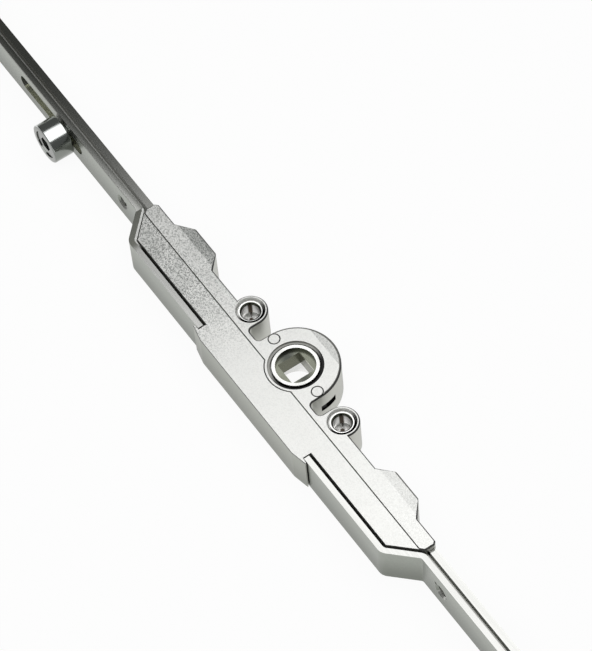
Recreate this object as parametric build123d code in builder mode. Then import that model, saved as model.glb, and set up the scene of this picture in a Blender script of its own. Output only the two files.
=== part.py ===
from build123d import *
from math import acos, cos, pi, radians, sin, tan
import os

# Window espagnolette gearbox: a split die-cast case with a pinion that the
# handle's square spindle turns, a rack bar that pulls two drive rods along
# behind two faceplate strips, and one roller cam on the left rod.
# Millimetres. +Z is the spindle's axis, +X runs along the faceplate and
# -Y is the faceplate's side. The origin is on the spindle's axis at mid height.

# Handle
spindle_square = 7.0
handle_screw_spacing = 43.0
handle_screw_core_radius = 2.1

# Pinion and rack
gear_module = 1.25
pinion_teeth = 12
pressure_angle = radians(25)
tooth_addendum = 1.0
tooth_dedendum = 1.25
tooth_backlash = 0.1
handle_turn = radians(90)
collar_radius = 6.4
collar_set_back = 0.1
dish_radius = 5.5
dish_depth = 1.2
square_land = 5.35
hollow_radius = 5.5
rack_teeth = 10
rack_back_thickness = 2.35
rack_shoulder_height = 2.15
rack_arm_start = 21.0
rack_foot_length = 5.0

# Clearances
slide_clearance = 0.1
collar_clearance = 0.08
tip_clearance = 0.1
fit_clearance = 0.05
journal_clearance = 0.05
strip_clearance = 0.6
end_clearance = 0.5

# Split case
case_thickness = 12.0
cheek_thickness = 2.9
hub_wall = 3.5
seam_offset = 5.7
seam_gap = 0.1
edge_break = 0.4
seam_edge_break = 0.12
gland_radius = 7.57
gland_depth = 0.5
collar_groove_width = 0.5
collar_groove_depth = 1.2
seam_ring_margin = 0.73
boss_radius = 4.8
boss_recess_radius = 4.05
boss_recess_depth = 2.4
bush_radius = 3.6
bush_set_back = 0.5
bush_mouth_bevel = 0.7
valley_floor_offset = 3.95
valley_corner_radius = 1.2
arm_wall = 0.5
case_half_length = 65.7
case_corner_cut = 0.8
case_end_nib = 0.95
channel_end_wall = 8.42
bump_end_distance = 8.7
bump_length = 18.85
bump_near_ramp = 4.05
bump_far_ramp = 4.9
bump_top_offset = 2.75
bump_corner_radius = 1.0
bump_facet_start = -0.5
hub_facet_start = 9.3
facet_drop = 0.35
case_rivet_offset = 10.15
case_rivet_radius = 1.1
case_rivet_head_radius = 1.5
case_rivet_head_depth = 0.6
case_rivet_groove = 0.15
window_near = 1.5
window_far = 4.8
window_height = 2.4
window_pocket_near = -0.3
window_pocket_depth = 0.45
key_offset = 20.5
key_neck_width = 3.0
key_head_width = 5.0
key_neck_length = 0.55
key_head_length = 0.8
key_height = 8.4

# Front casting
front_face_offset = 12.0
nose_offset = 16.0
nose_half_length = 21.7
lip_end = 26.45
lip_offset = 15.0
lip_tip_gap = 0.3
strip_end_gap = 0.4

# Drive rods
rod_width = 8.4
rod_thickness = 2.5
rod_front_offset = 4.1
rod_edge_bevel = 0.5
rod_end_margin = 0.5
rod_end_web = 3.0
coupling_rivet_radius = 1.5
coupling_rivet_head_radius = 2.3
coupling_rivet_head_depth = 0.8

# Faceplate strips
faceplate_half_length = 200.0
faceplate_thickness = 2.1
faceplate_gap = 0.3
faceplate_edge_bevel = 0.5
faceplate_inner_end = 25.0
outer_bend_radius = 3.2
faceplate_end_radius = 2.0
inner_screw_distance = 9.5
outer_screw_distance = 7.0
screw_hole_radius = 1.8
screw_sink_radius = 2.4
screw_sink_depth = 0.6
screw_slot_width = 4.6
dimple_radius = 0.5
dimple_depth = 0.25
dimple_along = 2.2
dimple_up = 1.6
guide_rivet_radius = 2.0
guide_rivet_head_radius = 3.4
guide_rivet_head_height = 1.2
guide_rivet_sink_radius = 2.8
guide_rivet_sink_depth = 0.8

# Roller cam
cam_distance = 29.3
cam_slot_behind = 8.5
cam_slot_ahead = 23.5
cam_slot_width = 4.8
cam_shank_radius = 2.1
cam_collar_radius = 3.6
cam_collar_gap = 0.3
cam_collar_height = 0.5
cam_journal_radius = 3.0
cam_head_radius = 4.1
cam_head_height = 1.1
cam_socket_width = 4.0
cam_socket_depth = 2.0
roller_radius = 5.9
roller_length = 6.05
roller_recess_margin = 0.15
roller_recess_depth = 1.45
roller_edge = 0.4

# Worked out from the sizes above
half_thickness = case_thickness / 2
cavity_half_height = half_thickness - cheek_thickness
gear_half_height = cavity_half_height - slide_clearance
pitch_radius = gear_module * pinion_teeth / 2
base_radius = pitch_radius * cos(pressure_angle)
pinion_outer_radius = pitch_radius + tooth_addendum
pinion_root_radius = pitch_radius - tooth_dedendum
rack_pitch = pi * gear_module
rod_travel = handle_turn * pitch_radius
cavity_radius = pinion_outer_radius + tip_clearance
hub_radius = cavity_radius + hub_wall
seam_ring_radius = gland_radius + seam_ring_margin
boss_offset = handle_screw_spacing / 2
rack_tip = -pitch_radius + tooth_addendum
rack_root = -pitch_radius - tooth_dedendum
rack_back = rack_root - rack_back_thickness
rack_shoulder = rack_root + rack_shoulder_height
rod_front = -rod_front_offset
rod_back = rod_front + rod_thickness
rod_half_width = rod_width / 2
channel_half_height = rod_half_width + slide_clearance
arm_back = rod_back + slide_clearance + arm_wall
rear_seam = -seam_offset + seam_gap / 2
front_seam = -seam_offset - seam_gap / 2
front_case_tip = case_half_length - case_end_nib
front_corner = front_case_tip - front_face_offset - front_seam
bump_root_far = case_half_length - bump_end_distance
bump_root_near = bump_root_far - bump_length
bump_top_near = bump_root_near + bump_near_ramp
bump_top_far = bump_root_far - bump_far_ramp
foot_channel_far = case_half_length - channel_end_wall
rack_arm_end = foot_channel_far - end_clearance - rod_travel
foot_start = rack_arm_end - rack_foot_length
foot_channel_near = foot_start - rod_travel - end_clearance
bend_share = tan(radians(45) / 2)
strip_back = -front_face_offset - faceplate_gap
strip_front = strip_back - faceplate_thickness
outer_strip_back = rod_front - strip_clearance
outer_strip_front = outer_strip_back - faceplate_thickness
back_bend_near = front_corner + faceplate_gap * bend_share
back_bend_far = back_bend_near + outer_strip_back - strip_back
front_bend_near = back_bend_near + faceplate_thickness * bend_share
front_bend_far = back_bend_far + faceplate_thickness * bend_share
inner_bend_radius = outer_bend_radius - faceplate_thickness
slot_half_length = rod_travel + screw_slot_width / 2
inner_screw_offset = case_half_length + inner_screw_distance
outer_screw_offset = faceplate_half_length - outer_screw_distance
cam_offset = inner_screw_offset + cam_distance
cam_slot_near = cam_offset - cam_slot_behind
cam_slot_far = cam_offset + cam_slot_ahead
guide_rivet_offset = (cam_slot_far + outer_screw_offset) / 2
rod_inner_end = foot_start - rod_end_margin
rod_outer_end = guide_rivet_offset + slot_half_length + rod_end_web
cam_pin_start = outer_strip_front - cam_collar_gap
journal_start = cam_pin_start - cam_collar_height
roller_start = journal_start - journal_clearance
roller_end = roller_start - roller_length
recess_floor = roller_end + roller_recess_depth
head_start = recess_floor - journal_clearance
head_end = head_start - cam_head_height


def y_plane(y):
    """A sketch plane that faces the faceplate's side, at this place along Y."""
    return Plane.XZ.offset(-y)


# Rear case, two mirrored halves that meet at mid height
with BuildPart() as rear_case_upper:
    with BuildSketch(Plane.XY):
        Circle(hub_radius)
        with Locations((0, rear_seam - hub_radius)):
            Rectangle(2 * hub_radius, 2 * hub_radius, mode=Mode.SUBTRACT)
        with Locations((0, rear_seam / 2)):
            Rectangle(2 * hub_radius, -rear_seam)
        with Locations((0, (rear_seam - valley_floor_offset) / 2)):
            Rectangle(2 * boss_offset, -rear_seam - valley_floor_offset)
        for side in (-1, 1):
            with Locations((side * boss_offset, 0)):
                Circle(boss_radius)
            with BuildLine():
                Polyline(
                    (side * (boss_offset - boss_radius), 0),
                    (side * boss_offset, 0),
                    (side * boss_offset, arm_back),
                    (side * bump_root_near, arm_back),
                    (side * bump_top_near, bump_top_offset),
                    (side * bump_top_far, bump_top_offset),
                    (side * bump_root_far, arm_back),
                    (side * (case_half_length - case_corner_cut), arm_back),
                    (side * case_half_length, arm_back - case_corner_cut),
                    (side * case_half_length, rear_seam + case_half_length - front_case_tip),
                    (side * front_case_tip, rear_seam),
                    (side * (boss_offset - boss_radius), rear_seam),
                    close=True,
                )
            make_face()
        valley_corners = vertices().filter_by(lambda v: abs(v.Y + valley_floor_offset) < fit_clearance)
        fillet(valley_corners, valley_corner_radius)
        bump_corners = vertices().filter_by(lambda v: abs(v.Y - bump_top_offset) < fit_clearance)
        fillet(bump_corners, bump_corner_radius)
    extrude(amount=half_thickness)
    with BuildSketch(Plane.XY.offset(cavity_half_height)):
        Circle(seam_ring_radius)
    extrude(amount=cheek_thickness)
    rim_edges = faces().sort_by(Axis.Z)[-1].outer_wire().edges()
    chamfer(rim_edges.filter_by(lambda edge: edge.center().Y > rear_seam + seam_gap), edge_break)
    rim_edges = faces().sort_by(Axis.Z)[-1].outer_wire().edges()
    chamfer(rim_edges.filter_by(lambda edge: edge.center().Y < rear_seam + seam_gap), seam_edge_break)
    with BuildSketch(Plane.XY):
        Circle(cavity_radius)
    extrude(amount=cavity_half_height, mode=Mode.SUBTRACT)
    with BuildSketch(Plane.XY.offset(cavity_half_height)):
        Circle(collar_radius + collar_clearance)
    extrude(amount=cheek_thickness, mode=Mode.SUBTRACT)
    with BuildSketch(Plane.XY.offset(half_thickness - gland_depth)):
        Circle(gland_radius)
    extrude(amount=gland_depth, mode=Mode.SUBTRACT)
    with BuildSketch(Plane.XY.offset(half_thickness - gland_depth - collar_groove_depth)):
        Circle(collar_radius + collar_groove_width)
    extrude(amount=collar_groove_depth, mode=Mode.SUBTRACT)
    # Channels for the drive rods and, in front of them, for the rack bar's feet
    with BuildSketch(Plane.XY):
        for side in (-1, 1):
            channel_length = case_half_length - foot_channel_near + end_clearance
            with Locations((side * (foot_channel_near + channel_length / 2), (rod_front + rod_back) / 2)):
                Rectangle(channel_length, rod_thickness + 2 * slide_clearance)
    extrude(amount=channel_half_height, mode=Mode.SUBTRACT)
    with BuildSketch(Plane.XY):
        for side in (-1, 1):
            with Locations((side * (foot_channel_near + foot_channel_far) / 2, (rear_seam + rod_front) / 2)):
                Rectangle(foot_channel_far - foot_channel_near, rod_front - rear_seam)
    extrude(amount=cavity_half_height, mode=Mode.SUBTRACT)
    # Windows through the hub's flanks at mid height
    with BuildSketch(Plane.XY):
        with Locations((0, (window_near + window_far) / 2)):
            Rectangle(2 * hub_radius + end_clearance, window_far - window_near)
        for side in (-1, 1):
            with Locations((side * hub_radius, (window_pocket_near + window_far) / 2)):
                Rectangle(2 * window_pocket_depth, window_far - window_pocket_near)
    extrude(amount=window_height / 2, mode=Mode.SUBTRACT)
    # Bores for the handle bushes, with a recess at the mouth
    with BuildSketch(Plane.XY):
        with Locations((-boss_offset, 0), (boss_offset, 0)):
            Circle(bush_radius + fit_clearance)
    extrude(amount=half_thickness, mode=Mode.SUBTRACT)
    with BuildSketch(Plane.XY.offset(half_thickness - boss_recess_depth)):
        with Locations((-boss_offset, 0), (boss_offset, 0)):
            Circle(boss_recess_radius)
    extrude(amount=boss_recess_depth, mode=Mode.SUBTRACT)
    # Holes and head recesses for the case rivets
    with BuildSketch(Plane.XY):
        with Locations((-case_rivet_offset, 0), (case_rivet_offset, 0)):
            Circle(case_rivet_radius + fit_clearance)
    extrude(amount=half_thickness, mode=Mode.SUBTRACT)
    with BuildSketch(Plane.XY.offset(half_thickness - case_rivet_head_depth)):
        with Locations((-case_rivet_offset, 0), (case_rivet_offset, 0)):
            Circle(case_rivet_head_radius + case_rivet_groove)
    extrude(amount=case_rivet_head_depth, mode=Mode.SUBTRACT)
    # Pockets that lock round the front casting's keys
    with BuildSketch(Plane.XY):
        for side in (-1, 1):
            head_bottom = front_seam + key_neck_length - fit_clearance
            head_top = front_seam + key_neck_length + key_head_length + fit_clearance
            with Locations((side * key_offset, (rear_seam + head_top) / 2)):
                Rectangle(key_neck_width + 2 * fit_clearance, head_top - rear_seam)
            with Locations((side * key_offset, (head_bottom + head_top) / 2)):
                Rectangle(key_head_width + 2 * fit_clearance, head_top - head_bottom)
    extrude(amount=key_height / 2 + fit_clearance, mode=Mode.SUBTRACT)
    # Sloped facets on the hub's back and on the two bumps
    for facet_start, facet_end, near, far in (
        (hub_facet_start, hub_radius, -hub_radius, hub_radius),
        (bump_facet_start, bump_top_offset, bump_root_near, bump_root_far),
        (bump_facet_start, bump_top_offset, -bump_root_far, -bump_root_near),
    ):
        with BuildSketch(Plane.YZ.offset(near)):
            with BuildLine():
                Polyline(
                    (facet_start, half_thickness),
                    (facet_end + edge_break, half_thickness - facet_drop),
                    (facet_end + edge_break, half_thickness),
                    close=True,
                )
            make_face()
        extrude(amount=far - near, mode=Mode.SUBTRACT)

with BuildPart() as rear_case_lower:
    mirror(rear_case_upper.part, about=Plane.XY)

# Front casting, one piece that covers the rack and carries the faceplate's ends
with BuildPart() as front_case:
    with BuildSketch(Plane.XY.offset(-half_thickness)):
        for side in (-1, 1):
            with BuildLine():
                Polyline(
                    (0, front_seam),
                    (side * front_case_tip, front_seam),
                    (side * front_corner, -front_face_offset),
                    (side * (faceplate_inner_end - strip_end_gap), -front_face_offset),
                    (side * (faceplate_inner_end - strip_end_gap), strip_front - fit_clearance),
                    (side * lip_end, strip_front - lip_tip_gap),
                    (side * lip_end, -lip_offset),
                    (side * nose_half_length, -nose_offset),
                    (0, -nose_offset),
                    close=True,
                )
            make_face()
    extrude(amount=case_thickness)
    with BuildSketch(Plane.XY.offset(-half_thickness)):
        Circle(seam_ring_radius + seam_gap)
    extrude(amount=cheek_thickness, mode=Mode.SUBTRACT)
    with BuildSketch(Plane.XY.offset(cavity_half_height)):
        Circle(seam_ring_radius + seam_gap)
    extrude(amount=cheek_thickness, mode=Mode.SUBTRACT)
    lip_zone = (faceplate_inner_end - 2 * strip_end_gap, lip_end + strip_end_gap)
    rim_edges = faces().sort_by(Axis.Z)[-1].outer_wire().edges()
    rim_edges += faces().sort_by(Axis.Z)[0].outer_wire().edges()
    rim_edges = rim_edges.filter_by(lambda edge: not lip_zone[0] < abs(edge.center().X) < lip_zone[1])
    chamfer(rim_edges, seam_edge_break)
    with BuildSketch(Plane.XY.offset(-cavity_half_height)):
        rack_channel_back = rack_back - slide_clearance
        with Locations((0, (rack_channel_back + front_seam) / 2)):
            Rectangle(2 * foot_channel_far, front_seam - rack_channel_back)
    extrude(amount=2 * cavity_half_height, mode=Mode.SUBTRACT)
    with BuildSketch(Plane.XY.offset(-key_height / 2)):
        for side in (-1, 1):
            with Locations((side * key_offset, front_seam + key_neck_length / 2)):
                Rectangle(key_neck_width, key_neck_length)
            with Locations((side * key_offset, front_seam + key_neck_length + key_head_length / 2)):
                Rectangle(key_head_width, key_head_length)
    extrude(amount=key_height)


def involute_half_angle(radius):
    """Half the tooth's angle at this radius."""
    at_pitch = (rack_pitch / 2 - tooth_backlash / 2) / (2 * pitch_radius)
    local_angle = acos(min(1.0, base_radius / radius))
    return at_pitch + (tan(pressure_angle) - pressure_angle) - (tan(local_angle) - local_angle)


def tooth_point(radius, flank):
    """A point on one flank, -1 or 1, of the tooth that points to the rack."""
    angle = involute_half_angle(radius) * flank
    return (radius * sin(angle), -radius * cos(angle))


# Pinion with its two collars, the square hole for the spindle and a round hollow under the square
flank_steps = 4
flank_radii = [
    base_radius + (pinion_outer_radius - base_radius) * step / flank_steps
    for step in range(flank_steps + 1)
]
base_half_angle = involute_half_angle(base_radius)
tooth_foot_radius = pinion_root_radius - tip_clearance
with BuildSketch() as tooth:
    with BuildLine():
        left_foot = (-tooth_foot_radius * sin(base_half_angle), -tooth_foot_radius * cos(base_half_angle))
        right_foot = (tooth_foot_radius * sin(base_half_angle), -tooth_foot_radius * cos(base_half_angle))
        Line(left_foot, tooth_point(base_radius, -1))
        Spline([tooth_point(radius, -1) for radius in flank_radii])
        ThreePointArc(
            tooth_point(pinion_outer_radius, -1),
            (0, -pinion_outer_radius),
            tooth_point(pinion_outer_radius, 1),
        )
        Spline([tooth_point(radius, 1) for radius in reversed(flank_radii)])
        Line(tooth_point(base_radius, 1), right_foot)
        Line(right_foot, left_foot)
    make_face()

with BuildPart() as pinion:
    with BuildSketch(Plane.XY.offset(-gear_half_height)):
        Circle(pinion_root_radius)
        with PolarLocations(0, pinion_teeth):
            add(tooth.sketch)
    extrude(amount=2 * gear_half_height)
    collar_half_height = half_thickness - collar_set_back
    with BuildSketch(Plane.XY.offset(gear_half_height)):
        Circle(collar_radius)
    extrude(amount=collar_half_height - gear_half_height)
    with BuildSketch(Plane.XY.offset(-gear_half_height)):
        Circle(collar_radius)
    extrude(amount=gear_half_height - collar_half_height)
    with BuildSketch(Plane.XY.offset(collar_half_height - dish_depth)):
        Circle(dish_radius)
    extrude(amount=dish_depth, mode=Mode.SUBTRACT)
    with BuildSketch(Plane.XY.offset(-collar_half_height)):
        Circle(hollow_radius)
    extrude(amount=2 * collar_half_height - dish_depth - square_land, mode=Mode.SUBTRACT)
    with BuildSketch(Plane.XY.offset(-collar_half_height)):
        Rectangle(spindle_square, spindle_square)
    extrude(amount=2 * collar_half_height, mode=Mode.SUBTRACT)


def rack_tooth(centre):
    """Four corners of one rack tooth, from its left root to its right root."""
    half_pitch_width = (rack_pitch / 2 - tooth_backlash / 2) / 2
    half_tip = half_pitch_width - tooth_addendum * tan(pressure_angle)
    half_root = half_pitch_width + tooth_dedendum * tan(pressure_angle)
    return [
        (centre - half_root, rack_root),
        (centre - half_tip, rack_tip),
        (centre + half_tip, rack_tip),
        (centre + half_root, rack_root),
    ]


# Rack bar with its teeth at the middle and a foot behind each end
rack_line = []
for index in range(rack_teeth):
    rack_line += rack_tooth((index - (rack_teeth - 1) / 2) * rack_pitch)
coupling_offset = (foot_start + rack_arm_end) / 2
with BuildPart() as rack_bar:
    with BuildSketch(Plane.XY.offset(-gear_half_height)):
        with BuildLine():
            Polyline(
                (-rack_arm_start, rack_root),
                *rack_line,
                (rack_arm_start, rack_root),
                (rack_arm_start, rack_shoulder),
                (foot_start, rack_shoulder),
                (foot_start, rod_front),
                (rack_arm_end, rod_front),
                (rack_arm_end, rack_back),
                (-rack_arm_end, rack_back),
                (-rack_arm_end, rod_front),
                (-foot_start, rod_front),
                (-foot_start, rack_shoulder),
                (-rack_arm_start, rack_shoulder),
                close=True,
            )
        make_face()
    extrude(amount=2 * gear_half_height)
    with BuildSketch(y_plane(rod_front)):
        with Locations((-coupling_offset, 0), (coupling_offset, 0)):
            Circle(coupling_rivet_radius + fit_clearance)
    extrude(amount=rod_front - rack_back, mode=Mode.SUBTRACT)
    with BuildSketch(y_plane(rack_back + coupling_rivet_head_depth)):
        with Locations((-coupling_offset, 0), (coupling_offset, 0)):
            Circle(coupling_rivet_head_radius + fit_clearance)
    extrude(amount=coupling_rivet_head_depth, mode=Mode.SUBTRACT)

# Drive rods, flat bars behind the strips with slots for the screws and the guide rivets
with BuildPart() as drive_rod_right:
    with BuildSketch(y_plane(rod_back)):
        with Locations(((rod_inner_end + rod_outer_end) / 2, 0)):
            Rectangle(rod_outer_end - rod_inner_end, rod_width)
        with Locations((inner_screw_offset, 0), (guide_rivet_offset, 0)):
            SlotOverall(2 * slot_half_length, screw_slot_width, mode=Mode.SUBTRACT)
        with Locations((coupling_offset, 0)):
            Circle(coupling_rivet_radius + fit_clearance, mode=Mode.SUBTRACT)
    extrude(amount=rod_thickness)
    with BuildSketch(y_plane(rod_back)):
        with Locations((coupling_offset, 0)):
            Circle(coupling_rivet_head_radius + fit_clearance)
    extrude(amount=coupling_rivet_head_depth, mode=Mode.SUBTRACT)
    front_edges = edges().filter_by(Axis.X).filter_by_position(Axis.Y, rod_front, rod_front)
    chamfer(front_edges.group_by(Axis.Z)[0] + front_edges.group_by(Axis.Z)[-1], rod_edge_bevel)

with BuildPart() as drive_rod_left:
    mirror(drive_rod_right.part, about=Plane.YZ)
    with BuildSketch(y_plane(rod_back)):
        with Locations((-cam_offset, 0)):
            Circle(cam_shank_radius + fit_clearance)
    extrude(amount=rod_thickness, mode=Mode.SUBTRACT)

# Rivets that fix the rods to the rack bar's feet, heads sunk flush at both ends
with BuildPart() as coupling_rivet_right:
    with BuildSketch(y_plane(rod_back)):
        with Locations((coupling_offset, 0)):
            Circle(coupling_rivet_radius)
    extrude(amount=rod_back - rack_back)
    with BuildSketch(y_plane(rod_back)):
        with Locations((coupling_offset, 0)):
            Circle(coupling_rivet_head_radius)
    extrude(amount=coupling_rivet_head_depth - fit_clearance)
    with BuildSketch(y_plane(rack_back)):
        with Locations((coupling_offset, 0)):
            Circle(coupling_rivet_head_radius)
    extrude(amount=fit_clearance - coupling_rivet_head_depth)

with BuildPart() as coupling_rivet_left:
    mirror(coupling_rivet_right.part, about=Plane.YZ)


def strip_middle(x):
    """The place along Y of the right strip's middle, between its front and its back."""
    raised_middle = (strip_front + strip_back) / 2
    outer_middle = (outer_strip_front + outer_strip_back) / 2
    slope_start = (front_bend_near + back_bend_near) / 2
    return min(max(raised_middle, raised_middle + x - slope_start), outer_middle)


# Faceplate strips: level over the front casting, then stepped back at 45 degrees to lie on the rod
with BuildPart() as faceplate_right:
    with BuildSketch(Plane.XY.offset(-half_thickness)):
        with BuildLine():
            FilletPolyline(
                (faceplate_inner_end, strip_front),
                (front_bend_near, strip_front),
                (front_bend_far, outer_strip_front),
                (faceplate_half_length, outer_strip_front),
                radius=[outer_bend_radius, inner_bend_radius],
            )
            Line((faceplate_half_length, outer_strip_front), (faceplate_half_length, outer_strip_back))
            FilletPolyline(
                (faceplate_half_length, outer_strip_back),
                (back_bend_far, outer_strip_back),
                (back_bend_near, strip_back),
                (faceplate_inner_end, strip_back),
                radius=[outer_bend_radius, inner_bend_radius],
            )
            Line((faceplate_inner_end, strip_back), (faceplate_inner_end, strip_front))
        make_face()
    extrude(amount=case_thickness)
    back_edges = edges().filter_by(Axis.Y, reverse=True).filter_by(
        lambda edge: edge.center().Y > strip_middle(edge.center().X) + faceplate_edge_bevel
    )
    chamfer(back_edges.group_by(Axis.Z)[0] + back_edges.group_by(Axis.Z)[-1], faceplate_edge_bevel)
    end_edges = edges().filter_by(Axis.Y).sort_by(Axis.X)[-2:]
    fillet(end_edges, faceplate_end_radius)
    with BuildSketch(y_plane(outer_strip_back)):
        with Locations((inner_screw_offset, 0), (outer_screw_offset, 0)):
            Circle(screw_hole_radius)
    extrude(amount=faceplate_thickness, mode=Mode.SUBTRACT)
    for screw_offset in (inner_screw_offset, outer_screw_offset):
        with BuildSketch(y_plane(outer_strip_front + screw_sink_depth)):
            with Locations((screw_offset, 0)):
                Circle(screw_hole_radius)
        with BuildSketch(y_plane(outer_strip_front)):
            with Locations((screw_offset, 0)):
                Circle(screw_sink_radius)
        loft(mode=Mode.SUBTRACT)
    with BuildSketch(y_plane(outer_strip_front + dimple_depth)):
        with Locations(
            (inner_screw_offset - dimple_along, dimple_up), (outer_screw_offset - dimple_along, dimple_up)
        ):
            Circle(dimple_radius)
    extrude(amount=dimple_depth, mode=Mode.SUBTRACT)
    with BuildSketch(y_plane(outer_strip_back)):
        with Locations((guide_rivet_offset, 0)):
            Circle(guide_rivet_radius + fit_clearance)
    extrude(amount=faceplate_thickness, mode=Mode.SUBTRACT)
    with BuildSketch(y_plane(outer_strip_front + guide_rivet_sink_depth)):
        with Locations((guide_rivet_offset, 0)):
            Circle(guide_rivet_sink_radius + fit_clearance)
    extrude(amount=guide_rivet_sink_depth, mode=Mode.SUBTRACT)

with BuildPart() as faceplate_left:
    mirror(faceplate_right.part, about=Plane.YZ)
    with BuildSketch(y_plane(outer_strip_back)):
        with Locations((-(cam_slot_near + cam_slot_far) / 2, 0)):
            SlotOverall(cam_slot_far - cam_slot_near, cam_slot_width)
    extrude(amount=faceplate_thickness, mode=Mode.SUBTRACT)

# Guide rivets: fixed in the strip, with the rod sliding under the head behind it
with BuildPart() as guide_rivet_right:
    guide_head_start = rod_back + slide_clearance
    with BuildSketch(y_plane(guide_head_start)):
        with Locations((guide_rivet_offset, 0)):
            Circle(guide_rivet_radius)
    extrude(amount=guide_head_start - outer_strip_front)
    with BuildSketch(y_plane(guide_head_start)):
        with Locations((guide_rivet_offset, 0)):
            Circle(guide_rivet_head_radius)
    extrude(amount=-guide_rivet_head_height)
    with BuildSketch(y_plane(outer_strip_front)):
        with Locations((guide_rivet_offset, 0)):
            Circle(guide_rivet_sink_radius)
    extrude(amount=fit_clearance - guide_rivet_sink_depth)

with BuildPart() as guide_rivet_left:
    mirror(guide_rivet_right.part, about=Plane.YZ)

# Bushes that take the handle's two screws
with BuildPart() as handle_bush_right:
    bush_half_height = half_thickness - bush_set_back
    with BuildSketch(Plane.XY.offset(-bush_half_height)):
        with Locations((boss_offset, 0)):
            Circle(bush_radius)
            Circle(handle_screw_core_radius, mode=Mode.SUBTRACT)
    extrude(amount=2 * bush_half_height)
    mouth_edges = edges().filter_by(GeomType.CIRCLE).filter_by(
        lambda edge: abs(edge.radius - handle_screw_core_radius) < fit_clearance
    )
    chamfer(mouth_edges, bush_mouth_bevel)

with BuildPart() as handle_bush_left:
    mirror(handle_bush_right.part, about=Plane.YZ)

# Rivets that close the case beside the pinion
with BuildPart() as case_rivet_right:
    with BuildSketch(Plane.XY.offset(-half_thickness)):
        with Locations((case_rivet_offset, 0)):
            Circle(case_rivet_radius)
    extrude(amount=case_thickness)
    with BuildSketch(Plane.XY.offset(half_thickness)):
        with Locations((case_rivet_offset, 0)):
            Circle(case_rivet_head_radius)
    extrude(amount=fit_clearance - case_rivet_head_depth)
    with BuildSketch(Plane.XY.offset(-half_thickness)):
        with Locations((case_rivet_offset, 0)):
            Circle(case_rivet_head_radius)
    extrude(amount=case_rivet_head_depth - fit_clearance)

with BuildPart() as case_rivet_left:
    mirror(case_rivet_right.part, about=Plane.YZ)

# Pin of the roller cam: riveted in the left rod, a collar in front of the strip, journal and head
with BuildPart() as cam_pin:
    for start, end, radius in (
        (rod_back, cam_pin_start, cam_shank_radius),
        (cam_pin_start, journal_start, cam_collar_radius),
        (journal_start, head_start, cam_journal_radius),
        (head_start, head_end, cam_head_radius),
    ):
        with BuildSketch(y_plane(start)):
            with Locations((-cam_offset, 0)):
                Circle(radius)
        extrude(amount=start - end)
    with BuildSketch(y_plane(head_end)):
        with Locations((-cam_offset, 0)):
            RegularPolygon(cam_socket_width / 2, 6, major_radius=False)
    extrude(amount=-cam_socket_depth, mode=Mode.SUBTRACT)

# Roller that runs on the pin's journal, with a recess for the pin's head
with BuildPart() as cam_roller:
    with BuildSketch(y_plane(roller_start)):
        with Locations((-cam_offset, 0)):
            Circle(roller_radius)
    extrude(amount=roller_length)
    rim_edges = edges().filter_by(GeomType.CIRCLE)
    chamfer(rim_edges, roller_edge)
    with BuildSketch(y_plane(roller_start)):
        with Locations((-cam_offset, 0)):
            Circle(cam_journal_radius + journal_clearance)
    extrude(amount=roller_length, mode=Mode.SUBTRACT)
    with BuildSketch(y_plane(recess_floor)):
        with Locations((-cam_offset, 0)):
            Circle(cam_head_radius + roller_recess_margin)
    extrude(amount=roller_recess_depth, mode=Mode.SUBTRACT)

pieces = {
    "rear_case_upper": rear_case_upper,
    "rear_case_lower": rear_case_lower,
    "front_case": front_case,
    "pinion": pinion,
    "rack_bar": rack_bar,
    "drive_rod_right": drive_rod_right,
    "drive_rod_left": drive_rod_left,
    "coupling_rivet_right": coupling_rivet_right,
    "coupling_rivet_left": coupling_rivet_left,
    "faceplate_right": faceplate_right,
    "faceplate_left": faceplate_left,
    "guide_rivet_right": guide_rivet_right,
    "guide_rivet_left": guide_rivet_left,
    "handle_bush_right": handle_bush_right,
    "handle_bush_left": handle_bush_left,
    "case_rivet_right": case_rivet_right,
    "case_rivet_left": case_rivet_left,
    "cam_pin": cam_pin,
    "cam_roller": cam_roller,
}
os.makedirs("parts", exist_ok=True)
for name, piece in pieces.items():
    piece.part.label = name
    export_step(piece.part, f"parts/{name}.step")
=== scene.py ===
import math

import bpy
from mathutils import Matrix, Vector


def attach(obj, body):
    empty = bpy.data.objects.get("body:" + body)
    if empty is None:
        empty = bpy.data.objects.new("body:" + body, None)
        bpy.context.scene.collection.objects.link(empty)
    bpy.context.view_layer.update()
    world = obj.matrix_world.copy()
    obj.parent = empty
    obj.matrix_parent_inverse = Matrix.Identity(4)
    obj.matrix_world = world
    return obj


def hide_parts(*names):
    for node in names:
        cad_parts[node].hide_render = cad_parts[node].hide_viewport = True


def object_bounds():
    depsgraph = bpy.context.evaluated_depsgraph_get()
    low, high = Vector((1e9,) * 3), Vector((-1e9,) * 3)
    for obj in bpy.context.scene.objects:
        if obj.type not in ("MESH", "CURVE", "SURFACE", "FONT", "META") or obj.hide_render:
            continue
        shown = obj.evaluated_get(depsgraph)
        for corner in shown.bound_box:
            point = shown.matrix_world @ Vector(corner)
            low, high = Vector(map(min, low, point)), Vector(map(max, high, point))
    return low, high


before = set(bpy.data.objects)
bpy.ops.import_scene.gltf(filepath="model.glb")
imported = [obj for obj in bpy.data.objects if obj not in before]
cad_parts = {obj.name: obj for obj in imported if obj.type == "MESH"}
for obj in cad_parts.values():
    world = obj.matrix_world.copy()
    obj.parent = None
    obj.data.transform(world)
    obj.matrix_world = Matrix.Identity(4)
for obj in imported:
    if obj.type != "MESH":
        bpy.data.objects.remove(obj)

cad_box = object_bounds()

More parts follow.
